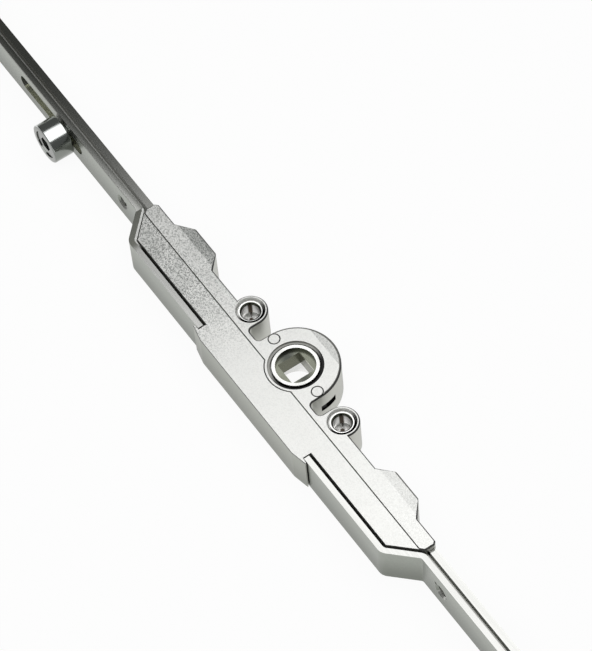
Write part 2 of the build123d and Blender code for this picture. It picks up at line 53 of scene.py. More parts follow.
# The camera: a long lens that looks down on the gearbox from its right front.
# Its angles, distance and lens were fitted to the photograph's 592 by 651 frame.
image_height = 651
camera_azimuth = math.radians(60.933)
camera_elevation = math.radians(57.004)
camera_roll = math.radians(-6.178)
camera_shift_right = 0.00024
camera_shift_up = -0.013668
camera_distance = 0.965328
focal_pixels = 3644.159
sensor_size = 36.0
camera_near = 0.05
camera_far = 20.0

toward_camera = Vector((
    math.sin(camera_azimuth) * math.cos(camera_elevation),
    -math.cos(camera_azimuth) * math.cos(camera_elevation),
    math.sin(camera_elevation),
))
level_right = Vector((math.cos(camera_azimuth), math.sin(camera_azimuth), 0.0))
level_up = toward_camera.cross(level_right)
camera_right = math.cos(camera_roll) * level_right + math.sin(camera_roll) * level_up
camera_up = -math.sin(camera_roll) * level_right + math.cos(camera_roll) * level_up
camera_place = (
    -camera_shift_right * camera_right - camera_shift_up * camera_up + camera_distance * toward_camera
)
camera_data = bpy.data.cameras.new("camera")
camera_data.sensor_width = sensor_size
camera_data.lens = focal_pixels * sensor_size / image_height
camera_data.clip_start = camera_near
camera_data.clip_end = camera_far
camera = bpy.data.objects.new("camera", camera_data)
camera.matrix_world = Matrix((
    (camera_right.x, camera_up.x, toward_camera.x, camera_place.x),
    (camera_right.y, camera_up.y, toward_camera.y, camera_place.y),
    (camera_right.z, camera_up.z, toward_camera.z, camera_place.z),
    (0.0, 0.0, 0.0, 1.0),
))
bpy.context.scene.collection.objects.link(camera)
bpy.context.scene.camera = camera
bpy.context.scene.view_settings.view_transform = "Standard"


# The stage: a white floor under the gearbox and one broad soft lamp above it, in a dim studio.
# A narrow, weaker lamp hangs beside it on the left, where the left strip begins to mirror the dim room.
floor_gap = 0.0002
floor_level = cad_box[0].z - floor_gap
floor_half_size = 3.0
floor_white = (0.9, 0.9, 0.9, 1.0)
floor_glow_share = 0.94
studio_grey = (0.08, 0.084, 0.08, 1.0)
lamp_height = 0.60
lamp_front = -0.65
lamp_back = 0.60
lamps = (
    ("overhead_lamp", -0.352, 0.340, 1.66),
    ("side_lamp", -0.446, -0.352, 0.76),
)

floor_mesh = bpy.data.meshes.new("floor")
floor_mesh.from_pydata(
    [
        (-floor_half_size, -floor_half_size, floor_level),
        (floor_half_size, -floor_half_size, floor_level),
        (floor_half_size, floor_half_size, floor_level),
        (-floor_half_size, floor_half_size, floor_level),
    ],
    [],
    [(0, 1, 2, 3)],
)
floor = bpy.data.objects.new("floor", floor_mesh)
bpy.context.scene.collection.objects.link(floor)

floor_material = bpy.data.materials.new("floor_white")
floor_material.use_nodes = True
tree = floor_material.node_tree
tree.nodes.clear()
output = tree.nodes.new("ShaderNodeOutputMaterial")
blend = tree.nodes.new("ShaderNodeMixShader")
diffuse = tree.nodes.new("ShaderNodeBsdfDiffuse")
diffuse.inputs["Color"].default_value = floor_white
glow = tree.nodes.new("ShaderNodeEmission")
glow.inputs["Strength"].default_value = 1.0
rays = tree.nodes.new("ShaderNodeLightPath")
seen = tree.nodes.new("ShaderNodeMath")
seen.operation = "MAXIMUM"
seen_or_through = tree.nodes.new("ShaderNodeMath")
seen_or_through.operation = "MAXIMUM"
share = tree.nodes.new("ShaderNodeMath")
share.operation = "MULTIPLY"
share.inputs[1].default_value = floor_glow_share
tree.links.new(rays.outputs["Is Camera Ray"], seen.inputs[0])
tree.links.new(rays.outputs["Is Glossy Ray"], seen.inputs[1])
tree.links.new(seen.outputs[0], seen_or_through.inputs[0])
tree.links.new(rays.outputs["Is Transmission Ray"], seen_or_through.inputs[1])
tree.links.new(seen_or_through.outputs[0], share.inputs[0])
tree.links.new(share.outputs[0], blend.inputs[0])
tree.links.new(diffuse.outputs[0], blend.inputs[1])
tree.links.new(glow.outputs[0], blend.inputs[2])
tree.links.new(blend.outputs[0], output.inputs["Surface"])
floor.data.materials.append(floor_material)

world = bpy.data.worlds.new("studio")
world.use_nodes = True
world.node_tree.nodes["Background"].inputs["Color"].default_value = studio_grey
world.node_tree.nodes["Background"].inputs["Strength"].default_value = 1.0
bpy.context.scene.world = world

for lamp_name, lamp_left, lamp_right, lamp_radiance in lamps:
    lamp_data = bpy.data.lights.new(lamp_name, "AREA")
    lamp_data.shape = "RECTANGLE"
    lamp_data.size = lamp_right - lamp_left
    lamp_data.size_y = lamp_back - lamp_front
    lamp_data.energy = lamp_radiance * math.pi * lamp_data.size * lamp_data.size_y
    lamp = bpy.data.objects.new(lamp_name, lamp_data)
    lamp.location = ((lamp_left + lamp_right) / 2, (lamp_front + lamp_back) / 2, lamp_height)
    bpy.context.scene.collection.objects.link(lamp)


# Rear case and front casting: zinc die-castings, tumbled and plated a pale silver-grey.
# The rear case is two halves riveted round the pinion, and the front casting keys into both.
casting_light = (0.835, 0.835, 0.815)
casting_dark = (0.22, 0.23, 0.22)
# The side walls are painted darker than the level faces, the front ones darker towards their foot: painted
# shade.
casting_side_shade = (0.42, 0.435, 0.39)
casting_side_foot_shade = (0.28, 0.29, 0.26)
casting_wall_shade = (0.58, 0.585, 0.54)
# The broken edges are painted dark, a painted shade for the dim room they mirror; the front casting's back
# edges lighter.
casting_edge_shade = (0.15, 0.15, 0.145)
casting_back_edge_shade = (0.12, 0.12, 0.12)
casting_seam_edge = (0.60, 0.60, 0.58)
# Recesses are painted near black, the collar's groove grey, the bosses' recess walls white and lit:
# painted shade and its lit copy.
casting_recess_shade = (0.02, 0.02, 0.02)
casting_groove_shade = (0.34, 0.34, 0.32)
casting_boss_groove_lit = (0.90, 0.90, 0.88)
casting_outline_shade = (0.16, 0.16, 0.15)
casting_metallic = 0.9
casting_roughness = 0.42
groove_metallic = 0.15
casting_half_height = 0.006
case_rivet_offset = 0.01015
boss_offset = 0.0215
rivet_reach = 0.00172
rivet_rim = 0.00138
groove_reach = 0.00759
boss_recess_reach = 0.00407
window_reach = 0.01203
window_half_height = 0.00121
hub_line_reach = 0.01147
hub_reach = 0.0121
hub_line_from = 0.0012
shade_share = 0.35
bump_from = 0.038
bump_back = 0.00275
bump_line_width = 0.00040
mask_softness = 0.00003
rightward = (1.0, 0.0, 0.0)
# To the left the castings are more speckled and darker: partly their grain, partly painted shade where the
# light falls off.
grain_and_shade_to = -0.044
grain_and_shade_from = -0.006
base_wear = 0.06
rear_left_grain_and_shade = 0.45
front_left_grain_and_shade = 0.8
facet_wear_share = 0.20
right_facet_wear_drop = 0.14
right_facet_from = 0.015
right_facet_to = 0.038
blot_share = 0.5
cloud_share = 0.25
left_painted_shade = 0.10
facet_darkening = 0.5
grain_bump_distance = 0.00004
grain_bump_strength = 0.5
mix_number_inputs = (2, 3)
mix_colour_inputs = (6, 7)
mix_colour_output = 2


def new_group(name, outputs):
    """A shader node group that puts out these named numbers, and its output node."""
    group = bpy.data.node_groups.new(name, "ShaderNodeTree")
    for output_name in outputs:
        group.interface.new_socket(name=output_name, in_out="OUTPUT", socket_type="NodeSocketFloat")
    return group, group.nodes.new("NodeGroupOutput")


def math_node(tree, operation, first, second):
    """A math node, clamped, whose two operands are sockets or numbers."""
    node = tree.nodes.new("ShaderNodeMath")
    node.operation = operation
    node.use_clamp = True
    for index, operand in enumerate((first, second)):
        if isinstance(operand, (int, float)):
            node.inputs[index].default_value = operand
        else:
            tree.links.new(operand, node.inputs[index])
    return node.outputs[0]


def product_node(tree, first, second):
    """One share of another."""
    return math_node(tree, "MULTIPLY", first, second)


def opposite_node(tree, share):
    """What is left of 1."""
    return math_node(tree, "SUBTRACT", 1.0, share)


def ramp_node(tree, value, low, high):
    """Rises smoothly from 0 to 1 while value goes from low to high."""
    node = tree.nodes.new("ShaderNodeMapRange")
    node.interpolation_type = "SMOOTHSTEP"
    tree.links.new(value, node.inputs["Value"])
    node.inputs["From Min"].default_value = low
    node.inputs["From Max"].default_value = high
    return node.outputs["Result"]


def mix_node(tree, share, first, second):
    """A colour between two colours or colour sockets, by a share from 0 to 1."""
    node = tree.nodes.new("ShaderNodeMix")
    node.data_type = "RGBA"
    tree.links.new(share, node.inputs[0])
    for index, colour in zip(mix_colour_inputs, (first, second)):
        if isinstance(colour, tuple):
            node.inputs[index].default_value = (*colour, 1.0)
        else:
            tree.links.new(colour, node.inputs[index])
    return node.outputs[mix_colour_output]


def blend_node(tree, share, first, second):
    """A number between two numbers, by a share from 0 to 1."""
    node = tree.nodes.new("ShaderNodeMix")
    tree.links.new(share, node.inputs[0])
    for index, number in zip(mix_number_inputs, (first, second)):
        node.inputs[index].default_value = number
    return node.outputs[0]


def noise_node(tree, vector, scale, detail):
    """Noise of this many features a metre."""
    node = tree.nodes.new("ShaderNodeTexNoise")
    node.inputs["Scale"].default_value = scale
    node.inputs["Detail"].default_value = detail
    tree.links.new(vector, node.inputs["Vector"])
    return node.outputs["Fac"]


def place_group(tree, group):
    """Puts a node group in a material or in another group."""
    node = tree.nodes.new("ShaderNodeGroup")
    node.node_tree = group
    return node


# How much of a face's normal points along an axis where each mask starts, and where it is whole.
level_range = (0.86, 0.92)
side_range = (0.40, 0.55)
flat_range = (0.9965, 0.9990)
right_range = (0.1, 0.9)
back_range = (0.1, 0.5)
front_range = (-0.95, -0.70)
under_range = (0.30, 0.55)


def facing_group():
    """Masks by the way a face looks: level, upright, broken edge, facet, right, back, front or under."""
    names = ("Level", "Side", "Edge", "Facet", "Right", "Back", "Front", "Under")
    group, result = new_group("facing", names)
    geometry = group.nodes.new("ShaderNodeNewGeometry")
    parts = group.nodes.new("ShaderNodeSeparateXYZ")
    group.links.new(geometry.outputs["True Normal"], parts.inputs[0])
    tilt = group.nodes.new("ShaderNodeMath")
    tilt.operation = "ABSOLUTE"
    group.links.new(parts.outputs["Z"], tilt.inputs[0])
    level = ramp_node(group, tilt.outputs[0], *level_range)
    side = opposite_node(group, ramp_node(group, tilt.outputs[0], *side_range))
    flat = ramp_node(group, tilt.outputs[0], *flat_range)
    edge = math_node(group, "SUBTRACT", opposite_node(group, level), side)
    group.links.new(level, result.inputs["Level"])
    group.links.new(side, result.inputs["Side"])
    group.links.new(edge, result.inputs["Edge"])
    group.links.new(math_node(group, "SUBTRACT", level, flat), result.inputs["Facet"])
    group.links.new(ramp_node(group, parts.outputs["X"], *right_range), result.inputs["Right"])
    group.links.new(ramp_node(group, parts.outputs["Y"], *back_range), result.inputs["Back"])
    front = opposite_node(group, ramp_node(group, parts.outputs["Y"], *front_range))
    under = opposite_node(group, ramp_node(group, parts.outputs["Z"], *under_range))
    group.links.new(front, result.inputs["Front"])
    group.links.new(under, result.inputs["Under"])
    return group


def place_group_of_axes():
    """A point's place in metres: along the strips, across them, up, and out from the spindle's axis."""
    names = ("Along", "Across", "Up", "Out")
    group, result = new_group("place", names)
    parts = group.nodes.new("ShaderNodeSeparateXYZ")
    group.links.new(group.nodes.new("ShaderNodeTexCoord").outputs["Object"], parts.inputs[0])
    flat = group.nodes.new("ShaderNodeCombineXYZ")
    group.links.new(parts.outputs["X"], flat.inputs["X"])
    group.links.new(parts.outputs["Y"], flat.inputs["Y"])
    reach = group.nodes.new("ShaderNodeVectorMath")
    reach.operation = "LENGTH"
    group.links.new(flat.outputs[0], reach.inputs[0])
    axes = (parts.outputs["X"], parts.outputs["Y"], parts.outputs["Z"], reach.outputs["Value"])
    for name, socket in zip(names, axes):
        group.links.new(socket, result.inputs[name])
    return group


# The grain's features a metre, and the noise at which each mask starts and is whole.
fine_grain_scale = 3400.0
coarse_grain_scale = 1700.0
cloud_scale = 160.0
fine_range = (0.46, 0.58)
coarse_range = (0.32, 0.54)
blot_range = (0.50, 0.62)
cloud_range = (0.35, 0.65)
pit_depth_share = 0.5


def cast_grain_group():
    """The pitted grain of a tumbled casting: masks of specks, blots and cloudy patches, and a height."""
    names = ("Specks", "Blots", "Clouds", "Height")
    group, result = new_group("cast_grain", names)
    place = group.nodes.new("ShaderNodeTexCoord").outputs["Object"]
    fine = noise_node(group, place, fine_grain_scale, detail=2.0)
    coarse = noise_node(group, place, coarse_grain_scale, detail=3.0)
    clouds = noise_node(group, place, cloud_scale, detail=2.0)
    specks = product_node(
        group, ramp_node(group, fine, *fine_range), ramp_node(group, coarse, *coarse_range),
    )
    height = math_node(group, "SUBTRACT", fine, product_node(group, specks, pit_depth_share))
    group.links.new(specks, result.inputs["Specks"])
    group.links.new(ramp_node(group, coarse, *blot_range), result.inputs["Blots"])
    group.links.new(ramp_node(group, clouds, *cloud_range), result.inputs["Clouds"])
    group.links.new(height, result.inputs["Height"])
    return group


def local_node(tree, where, offset):
    """The plan vector to a point from the nearer of two upright axes, at plus and minus this offset."""
    side = tree.nodes.new("ShaderNodeMath")
    side.operation = "SIGN"
    tree.links.new(where.outputs["Along"], side.inputs[0])
    shifted = tree.nodes.new("ShaderNodeMath")
    shifted.operation = "MULTIPLY_ADD"
    shifted.inputs[1].default_value = -offset
    tree.links.new(side.outputs[0], shifted.inputs[0])
    tree.links.new(where.outputs["Along"], shifted.inputs[2])
    flat = tree.nodes.new("ShaderNodeCombineXYZ")
    tree.links.new(shifted.outputs[0], flat.inputs["X"])
    tree.links.new(where.outputs["Across"], flat.inputs["Y"])
    return flat.outputs[0]


def length_node(tree, vector):
    """The length of a vector."""
    node = tree.nodes.new("ShaderNodeVectorMath")
    node.operation = "LENGTH"
    tree.links.new(vector, node.inputs[0])
    return node.outputs["Value"]


def toward_node(tree, vector, direction):
    """How far a vector reaches in this direction."""
    node = tree.nodes.new("ShaderNodeVectorMath")
    node.operation = "DOT_PRODUCT"
    node.inputs[1].default_value = direction
    tree.links.new(vector, node.inputs[0])
    return node.outputs["Value"]


def absolute_node(tree, value):
    """A number without its sign."""
    node = tree.nodes.new("ShaderNodeMath")
    node.operation = "ABSOLUTE"
    tree.links.new(value, node.inputs[0])
    return node.outputs[0]


def beyond_node(tree, value, bound):
    """1 where a place or length in metres is over the bound, with a thin soft edge."""
    return ramp_node(tree, value, bound, bound + mask_softness)


def within_node(tree, value, bound):
    """1 where a place or length in metres is under the bound, with a thin soft edge."""
    return opposite_node(tree, beyond_node(tree, value, bound))


def shade_node(tree, along, radius):
    """Rises from 0 to 1 across a round recess, towards its right side, which lies in shade."""
    return ramp_node(tree, along, -shade_share * radius, shade_share * radius)


def recess_group():
    """Masks of the castings' recesses and outlines, where shade and dark lines are painted.

    They are the windows and rivet holes, the collar's groove, the bosses' recesses, the shaded sides of
    both, and the lines along the hub's rim and the bumps' back edges.
    """
    names = ("Deep", "Groove", "Boss", "Shade", "Line")
    group, result = new_group("recesses", names)
    where = place_group(group, place_axes)
    along, across, up, out = (where.outputs[name] for name in ("Along", "Across", "Up", "Out"))
    window = product_node(
        group, within_node(group, out, window_reach),
        within_node(group, absolute_node(group, up), window_half_height),
    )
    from_rivet = local_node(group, where, case_rivet_offset)
    rivet = within_node(group, length_node(group, from_rivet), rivet_reach)
    from_boss = local_node(group, where, boss_offset)
    boss = within_node(group, length_node(group, from_boss), boss_recess_reach)
    boss_shade = shade_node(group, toward_node(group, from_boss, rightward), boss_recess_reach)
    collar = within_node(group, out, groove_reach)
    collar_shade = shade_node(group, along, groove_reach)
    rim = product_node(group, within_node(group, out, hub_reach), beyond_node(group, out, hub_line_reach))
    rim = product_node(group, rim, beyond_node(group, across, hub_line_from))
    bump_rim = product_node(
        group, within_node(group, across, bump_back + bump_line_width),
        beyond_node(group, across, bump_back - bump_line_width),
    )
    bump_rim = product_node(group, bump_rim, beyond_node(group, absolute_node(group, along), bump_from))
    shade = math_node(
        group, "MAXIMUM", product_node(group, collar, collar_shade), product_node(group, boss, boss_shade),
    )
    group.links.new(math_node(group, "MAXIMUM", window, rivet), result.inputs["Deep"])
    group.links.new(collar, result.inputs["Groove"])
    group.links.new(boss, result.inputs["Boss"])
    group.links.new(shade, result.inputs["Shade"])
    group.links.new(math_node(group, "MAXIMUM", rim, bump_rim), result.inputs["Line"])
    return group


facing = facing_group()
place_axes = place_group_of_axes()
cast_grain = cast_grain_group()
recesses = recess_group()


def new_material(name, metallic, roughness):
    """A new metal material: its node tree and its Principled shader."""
    material = bpy.data.materials.new(name)
    material.use_nodes = True
    shader = material.node_tree.nodes["Principled BSDF"]
    shader.inputs["Metallic"].default_value = metallic
    shader.inputs["Roughness"].default_value = roughness
    return material, material.node_tree, shader


def bump_node(tree, height, distance, strength, shader):
    """Feeds the shader's normal from a height."""
    node = tree.nodes.new("ShaderNodeBump")
    node.inputs["Distance"].default_value = distance
    node.inputs["Strength"].default_value = strength
    tree.links.new(height, node.inputs["Height"])
    tree.links.new(node.outputs["Normal"], shader.inputs["Normal"])


def casting_material(name, left_grain_and_shade, back_edge):
    """Plated die-casting: pale level faces speckled to the left; painted shade to the left, grey side
    walls, thin dark edges.
    """
    material, tree, shader = new_material(name, casting_metallic, casting_roughness)
    look = place_group(tree, facing)
    where = place_group(tree, place_axes)
    grain = place_group(tree, cast_grain)
    # Darker and more speckled to the left: partly grain, partly painted shade.
    right_share = ramp_node(tree, where.outputs["Along"], grain_and_shade_to, grain_and_shade_from)
    left_grain_and_shade_share = product_node(tree, opposite_node(tree, right_share), left_grain_and_shade)
    far_right = ramp_node(tree, where.outputs["Along"], right_facet_from, right_facet_to)
    facet_share = math_node(
        tree, "SUBTRACT", facet_wear_share, product_node(tree, far_right, right_facet_wear_drop),
    )
    facet_share = math_node(tree, "ADD", facet_share, left_grain_and_shade_share)
    facet_wear = product_node(tree, look.outputs["Facet"], facet_share)
    grain_and_shade_amount = math_node(tree, "ADD", math_node(tree, "ADD", base_wear, left_grain_and_shade_share), facet_wear)
    specks = product_node(tree, grain.outputs["Specks"], grain_and_shade_amount)
    blots = product_node(tree, grain.outputs["Blots"], product_node(tree, grain_and_shade_amount, blot_share))
    cloudy = product_node(tree, grain.outputs["Clouds"], product_node(tree, grain_and_shade_amount, cloud_share))
    level_colour = mix_node(tree, specks, casting_light, casting_dark)
    level_colour = mix_node(tree, blots, level_colour, casting_dark)
    level_colour = mix_node(tree, cloudy, level_colour, casting_dark)
    for darkening in (
        product_node(tree, left_grain_and_shade_share, left_painted_shade), product_node(tree, facet_wear, facet_darkening),
    ):
        level_colour = mix_node(tree, darkening, level_colour, casting_dark)
    # Painted shade: side walls darker than the level faces, and front walls darker towards the foot.
    height_share = ramp_node(tree, where.outputs["Up"], -casting_half_height, casting_half_height)
    front_colour = mix_node(tree, height_share, casting_side_foot_shade, casting_side_shade)
    wall_colour = mix_node(tree, look.outputs["Right"], front_colour, casting_wall_shade)
    side_colour = mix_node(tree, look.outputs["Side"], level_colour, wall_colour)
    # Painted shade: broken edges darker, with their own tone where they face back.
    edge_colour = mix_node(tree, look.outputs["Back"], casting_edge_shade, back_edge)
    colour = mix_node(tree, look.outputs["Edge"], side_colour, edge_colour)
    recess = place_group(tree, recesses)
    # Painted shade: dark outlines, the grey groove, boss walls lit on one side and black on the shaded
    # side, black holes.
    outline = product_node(tree, recess.outputs["Line"], look.outputs["Level"])
    colour = mix_node(tree, outline, colour, casting_outline_shade)
    colour = mix_node(tree, recess.outputs["Groove"], colour, casting_groove_shade)
    colour = mix_node(tree, recess.outputs["Boss"], colour, casting_boss_groove_lit)
    colour = mix_node(tree, recess.outputs["Shade"], colour, casting_recess_shade)
    colour = mix_node(tree, recess.outputs["Deep"], colour, casting_recess_shade)
    tree.links.new(colour, shader.inputs["Base Color"])
    lit_groove = math_node(tree, "SUBTRACT", recess.outputs["Boss"], recess.outputs["Shade"])
    metallic = blend_node(tree, lit_groove, casting_metallic, groove_metallic)
    tree.links.new(metallic, shader.inputs["Metallic"])
    bump_node(tree, grain.outputs["Height"], grain_bump_distance, grain_bump_strength, shader)
    return material


def dress(node_names, material):
    """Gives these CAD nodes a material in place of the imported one."""
    for name in node_names:
        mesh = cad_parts[name].data
        mesh.materials.clear()
        mesh.materials.append(material)


dress(
    ("rear_case_upper", "rear_case_lower"),
    casting_material("rear_casting", rear_left_grain_and_shade, casting_back_edge_shade),
)
dress(("front_case",), casting_material("front_casting", front_left_grain_and_shade, casting_seam_edge))


# Faceplate strips and drive rods: rolled steel strip, zinc plated, with drawn lines along its length.
# The strips' joggled inner ends sit under the front casting's lips, and the rods slide behind them.
# Their broad faces are greenish grey, painted darker towards the foot and, at the left end, towards the
# upper edge: painted shade.
strip_top = (0.365, 0.385, 0.345)
# The broad faces are painted darker towards the foot: painted shade.
strip_foot_shade = (0.20, 0.212, 0.186)
strip_edge = (0.58, 0.58, 0.565)
# The bevels are painted dark over the case and lighter beyond it: painted shade for what they mirror.
strip_bevel_shade = (0.05, 0.05, 0.045)
strip_outer_bevel = (0.60, 0.60, 0.57)
# Painted shade along the broad faces' upper edge at the left end.
strip_shoulder_shade = (0.10, 0.10, 0.085)
# On the joggle's slope the level edge is painted dark and its bevel white: painted shade and a painted
# highlight.
strip_slope_edge_shade = (0.22, 0.225, 0.20)
strip_slope_bevel_highlight = (0.95, 0.95, 0.93)
# At the left end, bevels and level edges are painted darker towards the back and far left, lighter in
# front: painted light and shade.
strip_left_bevel = (0.25, 0.25, 0.235)
strip_far_left_bevel_shade = (0.10, 0.10, 0.09)
# The cam slot's lower wall is painted light olive: a painted reflection.
strip_slot_reflection = (0.62, 0.63, 0.50)
strip_left_front = (0.92, 0.92, 0.89)
strip_left_back_shade = (0.34, 0.345, 0.32)
rod_left = (0.50, 0.50, 0.48)
strip_far_left_shade = (0.12, 0.125, 0.11)
strip_streak = (0.20, 0.21, 0.19)
strip_metallic = 0.95
strip_face_roughness = 0.36
strip_edge_roughness = 0.15
slot_half_height = 0.0027
slot_from = -0.1285
slot_to = -0.0955
strip_half_height = 0.006
shoulder_low = 0.0047
raised_reach = 0.0665
slope_from = -0.0665
slope_to = -0.0580
slope_fade = 0.0030
outer_from = -0.062
edge_front = -0.0068
edge_back = -0.0048
rod_from = -0.0044
far_left_from = -0.070
far_left_to = -0.130
dark_edge_from = -0.060
dark_edge_to = -0.080
far_left_share = 0.65
face_streak_share = 0.14
edge_streak_share = 0.12
line_squeeze = (0.015, 1.0, 1.0)
line_scale = 1900.0
line_range = (0.35, 0.65)
line_bump_distance = 0.000004
line_bump_strength = 0.2


def drawn_lines_group():
    """Long lines along X from rolling: a mask of streaks and a height."""
    names = ("Streaks", "Height")
    group, result = new_group("drawn_lines", names)
    place = group.nodes.new("ShaderNodeTexCoord").outputs["Object"]
    stretch = group.nodes.new("ShaderNodeMapping")
    stretch.inputs["Scale"].default_value = line_squeeze
    group.links.new(place, stretch.inputs["Vector"])
    lines = noise_node(group, stretch.outputs["Vector"], line_scale, detail=1.0)
    group.links.new(ramp_node(group, lines, *line_range), result.inputs["Streaks"])
    group.links.new(lines, result.inputs["Height"])
    return group


drawn_lines = drawn_lines_group()


def strip_material(name):
    """Plated strip steel: grey drawn faces, and level edges bright on the right and painted dark on the
    left as shade.
    """
    material, tree, shader = new_material(name, strip_metallic, strip_face_roughness)
    look = place_group(tree, facing)
    where = place_group(tree, place_axes)
    drawn = place_group(tree, drawn_lines)
    along, across, up = (where.outputs[name] for name in ("Along", "Across", "Up"))
    left = opposite_node(tree, ramp_node(tree, along, dark_edge_to, dark_edge_from))
    # Painted shade: the broad faces darker towards the foot.
    top_share = ramp_node(tree, up, -strip_half_height, strip_half_height)
    face_colour = mix_node(tree, top_share, strip_foot_shade, strip_top)
    face_streaks = product_node(tree, drawn.outputs["Streaks"], face_streak_share)
    face_colour = mix_node(tree, face_streaks, face_colour, strip_streak)
    # Painted shade along the upper edge at the left end, for the rounded edge there.
    shoulder = product_node(tree, ramp_node(tree, up, shoulder_low, strip_half_height), left)
    face_colour = mix_node(tree, shoulder, face_colour, strip_shoulder_shade)
    edge_streaks = product_node(tree, drawn.outputs["Streaks"], edge_streak_share)
    edge_colour = mix_node(tree, edge_streaks, strip_edge, strip_streak)
    slot = product_node(
        tree, within_node(tree, absolute_node(tree, up), slot_half_height),
        product_node(tree, within_node(tree, along, slot_to), beyond_node(tree, along, slot_from)),
    )
    # Painted light and shade on the left level edges and bevels, darkest at the far left.
    outer_left = opposite_node(tree, ramp_node(tree, along, slope_from, outer_from))
    backward = ramp_node(tree, across, edge_front, edge_back)
    on_rod = beyond_node(tree, across, rod_from)
    left_colour = mix_node(tree, backward, strip_left_front, strip_left_back_shade)
    left_colour = mix_node(tree, on_rod, left_colour, rod_left)
    edge_colour = mix_node(tree, outer_left, edge_colour, left_colour)
    far_left = opposite_node(tree, ramp_node(tree, along, far_left_to, far_left_from))
    far_left_painted_shade = product_node(tree, far_left, far_left_share)
    edge_colour = mix_node(tree, far_left_painted_shade, edge_colour, strip_far_left_shade)
    # Painted reflection on the cam slot's lower wall.
    edge_colour = mix_node(tree, slot, edge_colour, strip_slot_reflection)
    # Painted shade on the slope's level edge; its bevel below gets a painted highlight.
    slope = math_node(
        tree, "SUBTRACT", beyond_node(tree, along, slope_from),
        ramp_node(tree, along, slope_to, slope_to + slope_fade),
    )
    edge_colour = mix_node(tree, slope, edge_colour, strip_slope_edge_shade)
    colour = mix_node(tree, look.outputs["Level"], face_colour, edge_colour)
    # Painted shade on the bevels: dark over the case, lighter beyond it.
    raised = within_node(tree, absolute_node(tree, along), raised_reach)
    bevel_colour = mix_node(tree, raised, strip_outer_bevel, strip_bevel_shade)
    left_bevel = mix_node(tree, far_left, strip_left_bevel, strip_far_left_bevel_shade)
    bevel_colour = mix_node(tree, outer_left, bevel_colour, left_bevel)
    bevel_colour = mix_node(tree, slope, bevel_colour, strip_slope_bevel_highlight)
    colour = mix_node(tree, look.outputs["Edge"], colour, bevel_colour)
    tree.links.new(colour, shader.inputs["Base Color"])
    matt_bevel = product_node(
        tree, math_node(tree, "MAXIMUM", slope, outer_left), look.outputs["Edge"],
    )
    tree.links.new(blend_node(tree, matt_bevel, strip_metallic, 0.0), shader.inputs["Metallic"])
    smooth_edge = math_node(tree, "SUBTRACT", look.outputs["Level"], slot)
    rough = blend_node(tree, smooth_edge, strip_face_roughness, strip_edge_roughness)
    tree.links.new(rough, shader.inputs["Roughness"])
    bump_node(tree, drawn.outputs["Height"], line_bump_distance, line_bump_strength, shader)
    return material


dress(("faceplate_left", "faceplate_right"), strip_material("plated_strip"))
dress(("drive_rod_left", "drive_rod_right"), strip_material("plated_rod"))


# Pinion and rack bar: machined steel, zinc plated, with a bright turned collar round a square hole painted
# dark as shade.
# The pinion turns between the two halves of the rear case, and its greased teeth drive the rack bar.
# The hollow under the square is painted near white, so that it mirrors the white floor.
gear_ring = (0.92, 0.92, 0.90)
# The dish floor and walls are painted dark as shade, with a painted sheen across the floor.
gear_dish_floor_shade = (0.08, 0.085, 0.075)
gear_dish_sheen = (0.25, 0.26, 0.21)
gear_dish_wall_shade_and_cloud = (0.085, 0.09, 0.07)
# The square's walls are painted dark as shade, darker where they face right, with a painted highlight
# along the rim.
gear_square_wall = (0.24, 0.245, 0.20)
gear_square_shade = (0.12, 0.125, 0.085)
gear_square_rim_highlight = (0.62, 0.63, 0.52)
gear_grease = (0.06, 0.06, 0.05)
gear_hollow = (0.98, 0.98, 0.97)
dish_reach = 0.00549
square_reach = 0.00505
teeth_from = 0.0061
square_foot = -0.00066
square_rim_from = 0.0041
sheen_spread = 0.0045
gear_metallic = 0.95
gear_roughness = 0.26
gear_cloud_share = 0.25
gear_bump_distance = 0.00002
gear_bump_strength = 0.3


def gear_material():
    """Plated gear steel, whose colour follows the distance from the spindle's axis, with painted shade and
    sheen.
    """
    material, tree, shader = new_material("plated_gear", gear_metallic, gear_roughness)
    look = place_group(tree, facing)
    where = place_group(tree, place_axes)
    grain = place_group(tree, cast_grain)
    in_dish = within_node(tree, where.outputs["Out"], dish_reach)
    in_square = within_node(tree, where.outputs["Out"], square_reach)
    # Painted sheen on the dish floor, across the spindle's axis.
    sheen = ramp_node(tree, absolute_node(tree, where.outputs["Across"]), 0.0, sheen_spread)
    dish_colour = mix_node(tree, sheen, gear_dish_floor_shade, gear_dish_sheen)
    level_colour = mix_node(tree, in_dish, gear_ring, dish_colour)
    # Painted highlight on the square's rim and painted shade on its walls.
    rim = beyond_node(tree, where.outputs["Up"], square_rim_from)
    square_colour = mix_node(tree, rim, gear_square_wall, gear_square_rim_highlight)
    square_colour = mix_node(tree, look.outputs["Right"], square_colour, gear_square_shade)
    wall_colour = mix_node(tree, in_square, gear_dish_wall_shade_and_cloud, square_colour)
    above = beyond_node(tree, where.outputs["Up"], square_foot)
    wall_colour = mix_node(tree, above, gear_hollow, wall_colour)
    outside = beyond_node(tree, where.outputs["Out"], teeth_from)
    wall_colour = mix_node(tree, outside, wall_colour, gear_grease)
    colour = mix_node(tree, look.outputs["Side"], level_colour, wall_colour)
    clouds = product_node(tree, grain.outputs["Clouds"], gear_cloud_share)
    colour = mix_node(tree, clouds, colour, gear_dish_wall_shade_and_cloud)
    tree.links.new(colour, shader.inputs["Base Color"])
    bump_node(tree, grain.outputs["Height"], gear_bump_distance, gear_bump_strength, shader)
    return material


dress(("pinion", "rack_bar"), gear_material())


